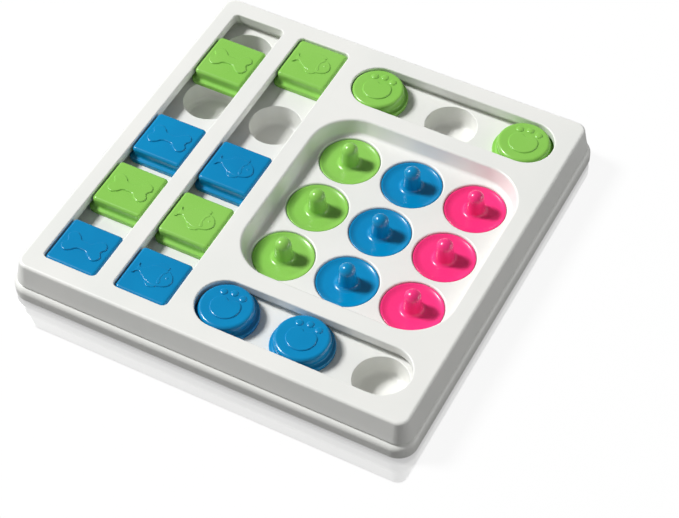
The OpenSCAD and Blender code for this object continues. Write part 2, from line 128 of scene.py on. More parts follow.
# %% [markdown]
# ## Moulded plastic
# All the hard parts are injection moulded. A steel mould polished with fine stone leaves a skin
# that is nearly smooth: it has a very fine grain, and a slow waviness where the plastic shrank as
# it cooled. The waviness bends the reflections a little, which is what tells the eye that a
# surface is moulded and not ground. The pigment is mixed in, so the colour hardly changes, but
# flow leaves faint lighter and darker clouds. Three noises make this: clouds 40 mm across for the
# pigment, waves 9 mm across for the shrinkage, and a 0.3 mm grain for the mould's skin, drawn
# somewhat coarser than the real one so that it can be seen at all.

# %% Materials of the moulded parts
CLOUD, WAVE, GRAIN = 0.040, 0.009, 0.0003      # sizes of the three noises in metres
WAVE_DEPTH, GRAIN_DEPTH = 0.00006, 0.000012    # how deep two of them go, in metres


def moulded_plastic(name, hex_colour, cloud_hex, roughness):
    """A pigmented moulded plastic. cloud_hex is the colour in the palest clouds of the pigment."""
    material = bpy.data.materials.new(name)
    tree = empty_graph(material)
    place = add(tree, "ShaderNodeTexCoord").outputs["Object"]
    clouds = add(tree, "ShaderNodeTexNoise", {"Vector": place, "Scale": 1 / CLOUD, "Detail": 3.0})
    waves = add(tree, "ShaderNodeTexNoise", {"Vector": place, "Scale": 1 / WAVE, "Detail": 1.0})
    grain = add(tree, "ShaderNodeTexNoise", {"Vector": place, "Scale": 1 / GRAIN, "Detail": 2.0})
    share = add(tree, "ShaderNodeMapRange", {
        "Value": clouds.outputs["Fac"], "From Min": 0.35, "From Max": 0.65})
    colour = add(tree, "ShaderNodeMix", data_type="RGBA", feeds={
        0: share.outputs["Result"], 6: linear(hex_colour), 7: linear(cloud_hex)})
    gloss = add(tree, "ShaderNodeMapRange", {
        "Value": grain.outputs["Fac"], "From Min": 0.3, "From Max": 0.7,
        "To Min": roughness - 0.04, "To Max": roughness + 0.05})
    slow = add(tree, "ShaderNodeBump", {
        "Strength": 0.6, "Distance": WAVE_DEPTH, "Height": waves.outputs["Fac"]})
    fine = add(tree, "ShaderNodeBump", {
        "Strength": 0.25, "Distance": GRAIN_DEPTH, "Height": grain.outputs["Fac"],
        "Normal": slow.outputs["Normal"]})
    plastic = add(tree, "ShaderNodeBsdfPrincipled", {
        "Base Color": colour.outputs[2], "Roughness": gloss.outputs["Result"],
        "Normal": fine.outputs["Normal"], "IOR": 1.5})
    add(tree, "ShaderNodeOutputMaterial", {"Surface": plastic.outputs["BSDF"]})
    print(f"{name}: roughness about {roughness}")
    return material


white_abs = moulded_plastic("moulded_ABS_satin_white", "#EBECE8", "#EFEFEB", 0.36)
green_abs = moulded_plastic("moulded_ABS_gloss_green", "#8BCB56", "#91CE5D", 0.24)
blue_abs = moulded_plastic("moulded_ABS_gloss_blue", "#0084BC", "#008CC4", 0.22)
pink_abs = moulded_plastic("moulded_ABS_gloss_pink", "#FB327E", "#FD3A86", 0.24)

# %% [markdown]
# ## Rubber and steel
# The feet are a soft thermoplastic rubber, TPR. It is filled with chalk and moulded in an etched
# mould, so it is matt and a little uneven, and it shows no sharp reflection. The screws are steel
# with a thin bright coat of zinc, which has a cold, slightly mottled shine.

# %% Materials of the feet and the screws
ETCH, ETCH_DEPTH = 0.0005, 0.00004           # grain of the etched mould in metres
CRYSTAL, CRYSTAL_DEPTH = 0.001, 0.00001      # patches of zinc crystal in metres


def matt_rubber(name, hex_colour):
    """A filled rubber from an etched mould: matt, with grains about half a millimetre across."""
    material = bpy.data.materials.new(name)
    tree = empty_graph(material)
    place = add(tree, "ShaderNodeTexCoord").outputs["Object"]
    grain = add(tree, "ShaderNodeTexNoise", {"Vector": place, "Scale": 1 / ETCH, "Detail": 4.0})
    shade = add(tree, "ShaderNodeHueSaturation", {
        "Color": linear(hex_colour), "Value": add(tree, "ShaderNodeMapRange", {
            "Value": grain.outputs["Fac"], "To Min": 0.9, "To Max": 1.1}).outputs["Result"]})
    skin = add(tree, "ShaderNodeBump", {
        "Strength": 0.5, "Distance": ETCH_DEPTH, "Height": grain.outputs["Fac"]})
    gloss = add(tree, "ShaderNodeMapRange", {
        "Value": grain.outputs["Fac"], "To Min": 0.7, "To Max": 0.9})
    rubber = add(tree, "ShaderNodeBsdfPrincipled", {
        "Base Color": shade.outputs["Color"], "Roughness": gloss.outputs["Result"],
        "Normal": skin.outputs["Normal"], "IOR": 1.5})
    add(tree, "ShaderNodeOutputMaterial", {"Surface": rubber.outputs["BSDF"]})
    return material


def plated_steel(name, hex_colour):
    """Steel with a bright zinc coat: patches of crystal a millimetre across dull its shine."""
    material = bpy.data.materials.new(name)
    tree = empty_graph(material)
    place = add(tree, "ShaderNodeTexCoord").outputs["Object"]
    patches = add(tree, "ShaderNodeTexVoronoi", {"Vector": place, "Scale": 1 / CRYSTAL})
    gloss = add(tree, "ShaderNodeMapRange", {
        "Value": patches.outputs["Distance"], "To Min": 0.25, "To Max": 0.45})
    skin = add(tree, "ShaderNodeBump", {
        "Strength": 0.2, "Distance": CRYSTAL_DEPTH, "Height": patches.outputs["Distance"]})
    steel = add(tree, "ShaderNodeBsdfPrincipled", {
        "Base Color": linear(hex_colour), "Metallic": 1.0, "Roughness": gloss.outputs["Result"],
        "Normal": skin.outputs["Normal"]})
    add(tree, "ShaderNodeOutputMaterial", {"Surface": steel.outputs["BSDF"]})
    return material


grey_tpr = matt_rubber("moulded_TPR_matt_grey", "#8A8C8E")
zinc_steel = plated_steel("zinc_plated_steel", "#B9BCC0")
print("rubber and steel ready")

# %% [markdown]
# ## Sections
# A moulded part is easiest to read in section: the line that a saw cut would show. Here a section
# is a list of points (outwards, height). Corners in a real mould are never sharp, so most
# corners of a section are a short arc.


# %% Arcs of a section
def arc(out, height, radius, start, end, steps):
    """Points of a rounding about (out, height), from start to end in degrees."""
    turns = [math.radians(start + (end - start) * k / steps) for k in range(steps + 1)]
    return [(out + radius * math.cos(t), height + radius * math.sin(t)) for t in turns]


print("a quarter round of radius 2:", [(round(a, 2), round(b, 2)) for a, b in arc(0, 0, 2, 90, 0, 2)])

# %% [markdown]
# ## Sweeps and turns
# The case, the channels and the square blocks are all one section carried round a rectangle with
# rounded corners. The spin operator turns the section through each corner, and an edge extrusion
# carries it along each side. Round parts need only one full spin. Each is made on its own about
# the origin, because the operators slow down as a mesh grows, and is then stamped into the piece
# wherever it is needed.

# %% Carry a section round a rectangle, spin it, stamp it
MERGE = 0.001        # points nearer than this, in millimetres, are one point


def mesh_data(name, mesh):
    """Turn a bmesh into mesh data, and free it."""
    data = bpy.data.meshes.new(name)
    mesh.to_mesh(data)
    mesh.free()
    return data


def sweep(section, half_x, half_y, steps=10):
    """half_x and half_y are half the distances between the centres of the rounded corners."""
    part = bmesh.new()
    corners = [Vector((x, y, 0)) for x, y in (
        (half_x, half_y), (-half_x, half_y), (-half_x, -half_y), (half_x, -half_y))]
    line = [part.verts.new(corners[0] + Vector((out, 0, height))) for out, height in section]
    front = line + [part.edges.new(pair) for pair in zip(line, line[1:])]
    for k, corner in enumerate(corners):
        turned = bmesh.ops.spin(part, geom=front, cent=corner, axis=(0, 0, 1),
                                angle=math.pi / 2, steps=steps, use_merge=False)
        front = turned["geom_last"]
        side = corners[(k + 1) % 4] - corner
        if side.length > MERGE:
            edges = [piece for piece in front if isinstance(piece, bmesh.types.BMEdge)]
            grown = bmesh.ops.extrude_edge_only(part, edges=edges)["geom"]
            moved = [piece for piece in grown if isinstance(piece, bmesh.types.BMVert)]
            bmesh.ops.translate(part, verts=moved, vec=side)
            reached = set(moved)
            front = moved + [piece for piece in grown if isinstance(piece, bmesh.types.BMEdge)
                             and reached.issuperset(piece.verts)]
    return part


def turn(section, steps=64):
    """Spin a section once round the upright axis."""
    part = bmesh.new()
    line = [part.verts.new((out, 0, height)) for out, height in section]
    edges = [part.edges.new(pair) for pair in zip(line, line[1:])]
    bmesh.ops.spin(part, geom=line + edges, cent=(0, 0, 0), axis=(0, 0, 1),
                   angle=2 * math.pi, steps=steps, use_merge=True)
    return part


def stamp(mesh, part, places):
    """Add a copy of the part to the mesh at each place (x, y)."""
    bmesh.ops.remove_doubles(part, verts=part.verts, dist=MERGE)
    data = mesh_data("part", part)
    for place in places:
        there = Matrix.Translation((place[0], place[1], 0))
        data.transform(there)
        mesh.from_mesh(data)
        data.transform(there.inverted())
    bpy.data.meshes.remove(data)


print("sweep, turn and stamp ready")

# %% [markdown]
# ## Flat faces with holes
# A plate between rounded openings is flat, so it needs no grid. Once the rounded edges of all its
# openings are in place, their open loops lie at one height, and triangle_fill closes whatever
# lies between them, holes included.


# %% Fill between the open loops at one height
def fill(mesh, height):
    """Close the flat area that the open loops at this height bound."""
    rims = [edge for edge in mesh.edges if edge.is_boundary
            and all(abs(corner.co.z - height) < MERGE for corner in edge.verts)]
    made = bmesh.ops.triangle_fill(mesh, edges=rims, use_beauty=True, normal=(0, 0, 1))
    return len(made["geom"])


print("fill ready")

# %% [markdown]
# ## Finishing a piece
# A finished mesh is merged, turned right side out, scaled to metres and shaded smooth, with
# edges sharper than 40 degrees kept crisp. Large flat faces next to small roundings would shade
# like pillows, so a Weighted Normal modifier lets the large faces decide the shading. The piece
# then rides on the body of the measured part that it stands for.

# %% Turn a mesh into a piece of the board
CRISP = 40           # degrees
body_of = {node: body for body, nodes in frame["record"]["behaviour"]["bodies"].items() for node in nodes}


def show(name, data):
    """Put a mesh, a curve, a lamp or a camera into the scene as an object."""
    made = bpy.data.objects.new(name, data)
    bpy.context.scene.collection.objects.link(made)
    return made


def finish_piece(name, mesh, material, nodes):
    """Make the mesh an object, give it its finish and let it stand for the measured nodes."""
    bmesh.ops.remove_doubles(mesh, verts=mesh.verts, dist=MERGE)
    bmesh.ops.recalc_face_normals(mesh, faces=mesh.faces)
    bmesh.ops.scale(mesh, vec=(MM, MM, MM), verts=mesh.verts)
    open_edges = sum(not edge.is_manifold for edge in mesh.edges)
    data = mesh_data(name, mesh)
    data.shade_smooth()
    data.set_sharp_from_angle(angle=math.radians(CRISP))
    data.materials.append(material)
    piece = show(name, data)
    piece.modifiers.new("even_shading", "WEIGHTED_NORMAL").keep_sharp = True
    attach(piece, body_of[nodes[0]])
    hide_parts(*nodes)
    print(f"{name}: {len(data.polygons)} faces, open edges {open_edges}")


print("bodies of the nodes:", len(body_of))

# %% [markdown]
# ## Levels of the board
# The board stands on four rubber feet. Its deck carries the sliders, 10 mm below the top face,
# and the sliders end just below that face, so a paw glides over them without catching.

# %% Sizes that several pieces share
TOP = 27.0                     # top face of the cover
DECK = 17.0                    # deck of the tray and floor of the dish
UNDER = 14.0                   # lower side of the dish, which sits in a pocket of the deck
BLOCK_TOP = 26.2               # upper faces of the sliders
EASE = 0.3                     # small chamfer or rounding of an edge
BOARD = 245.0                  # width of the board over its rim
CORNER = 111.5                 # centres of the case's rounded corners, from the middle
DISH_HALF = (63.05, 63.2)      # half the width and the depth of the dish
ROUND_HALF = (63.05, 16.1)     # of a channel for round blocks, which has round ends
SQUARE_HALF = (16.6, 106.4)    # of a channel for square blocks
SQUARE_CORNER = 3.15           # radius of its corners
SQUARE_PITCH = 44.4            # from cup to cup under the square blocks
ROUND_PITCH = 46.3             # and under the round ones
channels = [
    ((bone_x, 0), SQUARE_HALF, SQUARE_CORNER), ((fish_x, 0), SQUARE_HALF, SQUARE_CORNER),
    ((dish_x, -paw_y), ROUND_HALF, ROUND_HALF[1]), ((dish_x, paw_y), ROUND_HALF, ROUND_HALF[1])]
lid_places = [middle_of(f"treat_lid_{i}")[:2] for i in range(1, 10)]
square_cups = [(x, k * SQUARE_PITCH) for x in (bone_x, fish_x) for k in range(-2, 3)]
round_cups = [(dish_x + k * ROUND_PITCH, y) for y in (-paw_y, paw_y) for k in (-1, 0, 1)]
print("channels:", len(channels), "cups:", len(square_cups + round_cups + lid_places))

# %% [markdown]
# ## The cover
# The cover is one moulding: a thin plate with a skirt that leans outwards so that it leaves the
# mould, four channels with a short lip hanging down round each, and the dish. It could be cut
# from a solid with booleans, but those leave ragged shading along every rounded edge. Here each
# edge is a swept section with its own rounding, and the flat faces are filled in between. A fine
# step runs round the skirt where the two halves of the mould met.

# %% Sweep the skirt of the cover
TOP_CORNER = 6.5     # radius of the corners of the top face
EDGE = 2.0           # rounding of the outer edge
FLARE = 2.6          # how far the skirt leans out on its way down
WALL = 2.2           # thickness of the cover
SEAM = 12.3          # lower edge of the skirt
STRAIGHT = 24.0      # the skirt is straight from here down
PARTING = 15.6       # height of the witness line of the mould
STEP = 0.16          # how far the skirt steps out below that line
STEP_HIGH = 0.15     # height of that step

cover = bmesh.new()


def skirt_out(height):
    """How far the outside of the skirt has leaned out at this height."""
    return TOP_CORNER + FLARE * (TOP - EDGE - height) / (TOP - EDGE - SEAM)


skirt = arc(TOP_CORNER - EDGE, TOP - EDGE, EDGE, 90, 10, 7) + [
    (skirt_out(STRAIGHT), STRAIGHT),
    (skirt_out(PARTING) - STEP, PARTING + STEP_HIGH), (skirt_out(PARTING), PARTING),
    (skirt_out(SEAM + EASE), SEAM + EASE), (skirt_out(SEAM) - EASE, SEAM),
    (skirt_out(SEAM) - WALL, SEAM), (TOP_CORNER - WALL, TOP - WALL)]
stamp(cover, sweep(skirt, CORNER, CORNER, steps=12), [(0, 0)])
print("skirt faces:", len(cover.faces))

# %% Sweep the lips of the channels
LIP = 1.8            # thickness of a lip
LIP_LOW = 21.4       # its lower edge
LIP_EDGE = 0.8       # rounding of its upper edge
for at, (half_x, half_y), corner in channels:
    lip = arc(corner + LIP_EDGE, TOP - LIP_EDGE, LIP_EDGE, 90, 180, 5) + [
        (corner, LIP_LOW + EASE), (corner + EASE, LIP_LOW),
        (corner + LIP, LIP_LOW), (corner + LIP, TOP - WALL)]
    stamp(cover, sweep(lip, half_x - corner, half_y - corner), [at])
print("with lips:", len(cover.faces))

# %% Sweep the wall of the dish
DISH_CORNER = 26.0
LEAN = 2.5           # how far the wall of the dish leans in from top to floor
BRIM = 1.5           # rounding of the upper edge of the dish
FILLET = 2.5         # rounding at its floor
tilt = math.atan2(LEAN, TOP - DECK)
brim_out = DISH_CORNER + BRIM * (math.cos(tilt) - (1 - math.sin(tilt)) * math.tan(tilt))
fillet_out = DISH_CORNER - LEAN - FILLET * (1 - math.sin(tilt)) / math.cos(tilt)
dish_wall = (
    arc(brim_out, TOP - BRIM, BRIM, 90, 180 - math.degrees(tilt), 6)
    + arc(fillet_out, DECK + FILLET, FILLET, -math.degrees(tilt), -90, 8))
dish_back = [
    (DISH_CORNER + WALL, TOP - WALL), (DISH_CORNER - LEAN + WALL, DECK),
    (DISH_CORNER - LEAN + WALL, UNDER)]
dish_side = (DISH_HALF[0] - DISH_CORNER, DISH_HALF[1] - DISH_CORNER)
for section in (dish_wall, dish_back):
    stamp(cover, sweep(section, *dish_side, steps=16), [(dish_x, 0)])
print("with lips and dish:", len(cover.faces))

# %% [markdown]
# ## The seats of the lids
# Each lid drops into a round seat in the floor of the dish, with a smaller hole below that opens
# on its cup. Full spins make them, and the floor of the dish is then filled round all nine.

# %% Turn the seats, fill the flat faces, finish the cover
LID = 17.3           # radius of a lid
LID_GAP = 0.4        # between a lid and its seat
SEAT = LID + LID_GAP
SEAT_FLOOR = 14.8    # what the rim of a lid lies on
SEAT_EDGE = 1.0      # rounding of the upper edge of a seat
CUP = 15.3           # radius of a cup
lid_seat = arc(SEAT + SEAT_EDGE, DECK - SEAT_EDGE, SEAT_EDGE, 90, 180, 7) + [
    (SEAT, SEAT_FLOOR), (CUP + EASE, SEAT_FLOOR), (CUP, SEAT_FLOOR - EASE), (CUP, UNDER)]
stamp(cover, turn(lid_seat), lid_places)
for height in (TOP, TOP - WALL, DECK, UNDER):
    print(f"flat faces at {height} mm:", fill(cover, height))
finish_piece("cover", cover, white_abs, ["top_cover"])

# %% [markdown]
# ## The tray
# The tray carries everything. Its wall ends below in a rolled rim, 245 mm wide, that stands out
# under the skirt of the cover like a picture frame. Its deck has 16 cups for treats, and a pocket
# that the dish sits in, with nine more cups. The wall, the ledge and the rim are one sweep.

# %% Sweep the wall and the rim of the tray
RIM_OUT = BOARD / 2 - CORNER
RIM_R = 4.2          # the rolled edge, so wide that it begins under the skirt
RIM_FOOT = 1.4       # rounding of the lower edge of the rim
RIM_LOW = 2.0        # height of that edge over the floor
LEDGE = 12.0         # the ledge that the skirt stands over
LEDGE_FILLET = 0.6
TRAY_WALL = 2.0      # thickness of the tray
SKIRT_GAP = 0.5      # between the deck and the inside of the skirt
DECK_EDGE = 0.4      # rounding of the edges of the deck
DECK_OUT = skirt_out(DECK) - WALL - SKIRT_GAP

tray = bmesh.new()
rim = (
    arc(DECK_OUT - DECK_EDGE, DECK - DECK_EDGE, DECK_EDGE, 90, 0, 3)
    + arc(DECK_OUT + LEDGE_FILLET, LEDGE + LEDGE_FILLET, LEDGE_FILLET, 180, 270, 4)
    + arc(RIM_OUT - RIM_R, LEDGE - RIM_R, RIM_R, 90, 0, 8)
    + arc(RIM_OUT - RIM_FOOT, RIM_LOW + RIM_FOOT, RIM_FOOT, 0, -90, 6)
    + [(RIM_OUT - TRAY_WALL, RIM_LOW), (RIM_OUT - TRAY_WALL, LEDGE - TRAY_WALL),
       (DECK_OUT, LEDGE - TRAY_WALL), (DECK_OUT, RIM_LOW), (DECK_OUT - TRAY_WALL, RIM_LOW),
       (DECK_OUT - TRAY_WALL, DECK - TRAY_WALL)])
stamp(tray, sweep(rim, CORNER, CORNER, steps=12), [(0, 0)])
print("rim faces:", len(tray.faces))

# %% Sweep the pocket of the dish
POCKET_GAP = 0.6     # between the pocket and the dish
POCKET = DISH_CORNER + POCKET_GAP
inside = arc(POCKET + DECK_EDGE, DECK - DECK_EDGE, DECK_EDGE, 90, 180, 3) + [(POCKET, UNDER)]
outside = [(POCKET + TRAY_WALL, DECK - TRAY_WALL), (POCKET + TRAY_WALL, UNDER - TRAY_WALL)]
for section in (inside, outside):
    stamp(tray, sweep(section, *dish_side, steps=16), [(dish_x, 0)])
print("rim and pocket faces:", len(tray.faces))

# %% [markdown]
# ## The cups
# A cup is a straight well with a rounded floor, so that a tongue can reach every crumb. Its mouth
# has a small rounding. Two lines are spun for each cup: the well, down its wall to the middle of
# the floor, and the shell, from the middle of the lower side up to the deck.

# %% Turn the cups and fill the deck
CUP_FLOOR = 2.8      # height of the floor inside
CUP_LOW = 1.2        # height of the lower side
CUP_WALL = 1.6
CUP_FILLET = 3.0     # rounding of the floor inside
CUP_FOOT = 1.0       # rounding of the lower edge outside
for mouth, places in ((DECK, square_cups + round_cups), (UNDER, lid_places)):
    well = (arc(CUP + DECK_EDGE, mouth - DECK_EDGE, DECK_EDGE, 90, 180, 4)
            + arc(CUP - CUP_FILLET, CUP_FLOOR + CUP_FILLET, CUP_FILLET, 0, -90, 8)
            + [(0, CUP_FLOOR)])
    shell = ([(0, CUP_LOW)]
             + arc(CUP + CUP_WALL - CUP_FOOT, CUP_LOW + CUP_FOOT, CUP_FOOT, -90, 0, 4)
             + [(CUP + CUP_WALL, mouth - TRAY_WALL)])
    stamp(tray, turn(well), places)
    stamp(tray, turn(shell, steps=48), places)
for height in (DECK, DECK - TRAY_WALL, UNDER, UNDER - TRAY_WALL):
    print(f"flat faces at {height} mm:", fill(tray, height))

# %% [markdown]
# ## Ribs and posts
# A guide rib stands on the deck round each channel and keeps the flanges of its blocks in line.
# A post stands in each corner below the deck, with a recess at its end for a rubber foot. Both
# are rooted a little way in the deck, as if they had been moulded with it.

# %% Add the guide ribs and the foot posts, finish the tray
ROOT = 1.0           # how deep ribs and posts are rooted in the deck
BLOCK_GAP = 0.75     # between a block and the lip of its channel
RIB_OFF = 3.4        # from the side of a block to the rib
RIB = 1.6            # thickness of a rib
RIB_TOP = 20.8
RIB_EDGE = 0.4
for at, (half_x, half_y), corner in channels:
    inner = corner - BLOCK_GAP + RIB_OFF
    rib = ([(inner, DECK - ROOT)]
           + arc(inner + RIB_EDGE, RIB_TOP - RIB_EDGE, RIB_EDGE, 180, 90, 2)
           + arc(inner + RIB - RIB_EDGE, RIB_TOP - RIB_EDGE, RIB_EDGE, 90, 0, 2)
           + [(inner + RIB, DECK - ROOT), (inner, DECK - ROOT)])
    stamp(tray, sweep(rib, half_x - corner, half_y - corner), [at])

FOOT_AT = 107.5      # feet, from the middle of the board
FOOT, FOOT_TOP = 5.0, 3.2      # radius of a foot, and where it meets its post
STEM, STEM_TOP = 1.8, 7.2      # radius and upper end of its stem
FOOT_GAP = 0.15      # round the foot and its stem
STEM_ROOM = 0.2      # over the stem
POST = 6.0           # radius of a post
foot_places = [(x, y) for x in (-FOOT_AT, FOOT_AT) for y in (-FOOT_AT, FOOT_AT)]
post = [(0, DECK - ROOT), (POST, DECK - ROOT), (POST, RIM_LOW + EASE), (POST - EASE, RIM_LOW),
        (FOOT + FOOT_GAP, RIM_LOW), (FOOT + FOOT_GAP, FOOT_TOP), (STEM + FOOT_GAP, FOOT_TOP),
        (STEM + FOOT_GAP, STEM_TOP + STEM_ROOM), (0, STEM_TOP + STEM_ROOM)]
stamp(tray, turn(post, steps=48), foot_places)
finish_piece("tray", tray, white_abs, ["base_tray"])

# %% [markdown]
# ## Raised figures
# Every block carries a raised figure that shows which treat row it belongs to: a bone, a fish or
# a paw print. A toolmaker cuts such a figure into the mould with a small ball cutter, so its
# edge is rounded. A flat Bezier curve gives the outline in a few knots, its bevel gives the
# rounded edge, and the negative offset keeps the outline its true size.


# %% A plaque from a flat curve, and a bead
def plaque(mesh, knots, at, rise, root, edge):
    """Add a raised figure. Knots are (x, y) where the outline is smooth, (x, y, 1) at a corner.

    rise and root are its reach above and below the block's top, and edge is its rounding."""
    curve = bpy.data.curves.new("outline", "CURVE")
    curve.dimensions = "2D"
    curve.fill_mode = "BOTH"
    curve.resolution_u = 8
    curve.bevel_depth = edge
    curve.bevel_resolution = 3
    curve.offset = -edge
    curve.extrude = (rise + root) / 2 - edge
    line = curve.splines.new("BEZIER")
    line.bezier_points.add(len(knots) - 1)
    line.use_cyclic_u = True
    for point, knot in zip(line.bezier_points, knots):
        point.co = (knot[0], knot[1], 0)
        point.handle_left_type = point.handle_right_type = "VECTOR" if len(knot) == 3 else "AUTO"
    drawn = show("outline", curve)
    bpy.context.view_layer.update()
    seen = drawn.evaluated_get(bpy.context.evaluated_depsgraph_get())
    data = bpy.data.meshes.new_from_object(seen)
    data.transform(Matrix.Translation((at[0], at[1], BLOCK_TOP + (rise - root) / 2)))
    mesh.from_mesh(data)
    bpy.data.objects.remove(drawn)
    bpy.data.curves.remove(curve)
    bpy.data.meshes.remove(data)


def bead(mesh, at, radius, height):
    """Add a low round bead, such as a toe or an eye, that stands up from the block's top."""
    made = bmesh.ops.create_uvsphere(mesh, u_segments=24, v_segments=12, radius=radius)["verts"]
    bmesh.ops.scale(mesh, verts=made, vec=(1, 1, height / radius))
    bmesh.ops.translate(mesh, verts=made, vec=(at[0], at[1], BLOCK_TOP))


print("plaque and bead ready")

# %% Outlines of the three figures
half_bone = [(10.6, 0), (12.3, 3.4), (9.4, 7.0), (5.6, 5.6), (3.2, 3.3)]
bone = (half_bone + [(0, 2.9)] + [(-x, y) for x, y in reversed(half_bone[1:])]
        + [(-10.6, 0)] + [(-x, -y) for x, y in half_bone[1:]] + [(0, -2.9)]
        + [(x, -y) for x, y in reversed(half_bone[1:])])
fish_body = [
    (11.4, -1.2), (10.4, 2.6), (6.6, 5.8), (1.4, 7.1), (-3.6, 5.7), (-7.2, 2.5), (-8.8, 1.7),
    (-11.6, 4.6, 1), (-10.8, 0.4), (-12.0, -3.8, 1), (-8.8, -1.3), (-6.2, -2.9), (-2.6, -5.2),
    (1.8, -6.3), (6.2, -5.7), (9.8, -4.0)]
gill = [(4.9, 5.6), (6.1, 5.2), (4.7, 2.4), (4.5, -0.4), (5.6, -4.0), (4.5, -4.5), (3.4, -1.0),
        (3.6, 2.8)]
back_fin = [(-4.2, 4.6), (-2.8, 7.8), (1.6, 9.2), (5.8, 7.4), (4.4, 5.8), (0.6, 6.2)]
belly_fin = [(-2.4, -4.4), (-1.4, -7.4), (2.4, -7.9), (4.6, -5.4), (1.2, -5.2)]
eye = (7.6, 1.2)
pad = [(0, 3.3), (3.0, 4.9), (6.4, 4.0), (8.4, 0.4), (7.8, -4.4), (4.6, -8.0), (0, -9.3),
       (-4.6, -8.0), (-7.8, -4.4), (-8.4, 0.4), (-6.4, 4.0), (-3.0, 4.9)]
toes = [(-5.8, 7.7), (0, 9.2), (5.8, 7.7)]
print("knots of the bone, the fish and the paw:", len(bone), len(fish_body), len(pad))


# %% The three figures
def draw_bone(mesh, at):
    """One smooth plaque."""
    plaque(mesh, bone, at, rise=0.7, root=0.7, edge=0.65)


def draw_fish(mesh, at):
    """Low fins, a higher body, and the gill and the eye on top of it."""
    plaque(mesh, back_fin, at, rise=0.4, root=0.4, edge=0.35)
    plaque(mesh, belly_fin, at, rise=0.4, root=0.4, edge=0.35)
    plaque(mesh, fish_body, at, rise=0.6, root=0.6, edge=0.55)
    plaque(mesh, gill, at, rise=0.8, root=0, edge=0.3)
    bead(mesh, (at[0] + eye[0], at[1] + eye[1]), radius=1.3, height=0.8)


def draw_paw(mesh, at):
    """A broad pad and three toes."""
    plaque(mesh, pad, at, rise=0.7, root=0.7, edge=0.65)
    for x, y in toes:
        bead(mesh, (at[0] + x, at[1] + y), radius=2.2, height=0.75)


print("toes of a paw:", len(toes))

# %% [markdown]
# ## The sliding blocks
# A block is a hollow moulding with a foot flange that runs in a pocket under the lips of its
# channel, so that it slides and can't be lifted out. Its upper edge is well rounded, and a hollow
# rounding lets it flow into the flange. The square ones are the section carried round a rounded
# square, the round ones are the same section spun once.

# %% The section of a block
BLOCK_LOW = 17.1     # a block runs just over the deck
BLOCK_WALL = 1.8
BLOCK_EDGE = 2.0     # rounding of the upper edge
FLANGE = 2.5         # how far the flange stands out from the side of the block
FLANGE_TOP = 20.0
FLANGE_FILLET = 1.4  # the hollow rounding between the side and the flange
FLANGE_EDGE = 0.9    # rounding of the flange above
FLANGE_FOOT = 0.25   # and below
MOUTH_EASE = 0.2     # chamfer of the open lower side


def block_section(radius):
    """From the top face round the flange to the ceiling inside; radius is that of the corners."""
    return (
        arc(radius - BLOCK_EDGE, BLOCK_TOP - BLOCK_EDGE, BLOCK_EDGE, 90, 0, 8)
        + arc(radius + FLANGE_FILLET, FLANGE_TOP + FLANGE_FILLET, FLANGE_FILLET, 180, 270, 7)
        + arc(radius + FLANGE - FLANGE_EDGE, FLANGE_TOP - FLANGE_EDGE, FLANGE_EDGE, 90, 0, 6)
        + arc(radius + FLANGE - FLANGE_FOOT, BLOCK_LOW + FLANGE_FOOT, FLANGE_FOOT, 0, -90, 2)
        + [(radius - BLOCK_WALL + MOUTH_EASE, BLOCK_LOW),
           (radius - BLOCK_WALL, BLOCK_LOW + MOUTH_EASE),
           (radius - BLOCK_WALL, BLOCK_TOP - BLOCK_WALL)])


print("points in the section of a block:", len(block_section(SQUARE_CORNER - BLOCK_GAP)))


# %% A block over its measured node
def square_body():
    """The section carried round a rounded square."""
    side = SQUARE_HALF[0] - SQUARE_CORNER
    return sweep(block_section(SQUARE_CORNER - BLOCK_GAP), side, side, steps=8)


def round_body():
    """The section spun once."""
    return turn(block_section(ROUND_HALF[1] - BLOCK_GAP), steps=72)


def block(name, make_body, draw_figure, material, slot):
    """Make one block over its measured node."""
    mesh = bmesh.new()
    place = middle_of(name)
    stamp(mesh, make_body(), [place])
    fill(mesh, BLOCK_TOP)
    fill(mesh, BLOCK_TOP - BLOCK_WALL)
    draw_figure(mesh, place)
    finish_piece(name + "_block", mesh, material, [name])


print("width of a square block over its sides in mm:", round(2 * (SQUARE_HALF[0] - BLOCK_GAP), 2))

# %% Twelve blocks in their colours
blue, green = (blue_abs, "blue_plastic"), (green_abs, "green_plastic")
for k in range(1, 5):
    block(f"bone_slider_{k}", square_body, draw_bone, *(blue if k % 2 else green))
    block(f"fish_slider_{k}", square_body, draw_fish, *(blue if k % 2 else green))
    block(f"paw_slider_{k}", round_body, draw_paw, *(blue if k < 3 else green))

# %% [markdown]
# ## The lids
# A lid is a shallow bowl with a thumb-sized knob. The knob widens a little on its way down, so
# that it leaves the mould, and flows into the bowl with a fillet. The bowl rises in a wide arc to
# a thin flat rim, and a ring below keeps the lid in its cup. All of it is round, so it is one
# section, spun once.

# %% The upper side of a lid in section
RIM_TOP = 16.2       # the rim lies a little below the floor of the dish
RIM_START = 16.5     # radius where the flat rim begins
BOWL = 15.2          # floor of its hollow
BOWL_R = 8.0         # radius of the arc that rises from there to the rim
KNOB = 4.7
KNOB_ROOT = 5.3      # radius where the side of the knob meets its fillet
KNOB_FILLET = 2.8
KNOB_TOP = 30.0
rise = math.acos(1 - (RIM_TOP - BOWL) / BOWL_R)
upper_side = (
    arc(0, KNOB_TOP - KNOB, KNOB, 90, 0, 12)
    + arc(KNOB_ROOT + KNOB_FILLET, BOWL + KNOB_FILLET, KNOB_FILLET, 180, 270, 8)
    + arc(RIM_START - BOWL_R * math.sin(rise), BOWL + BOWL_R, BOWL_R, 270, 270 + math.degrees(rise), 8)
    + arc(LID - EASE, RIM_TOP - EASE, EASE, 90, 0, 4))
print(f"the bowl rises by {math.degrees(rise):.1f} degrees")

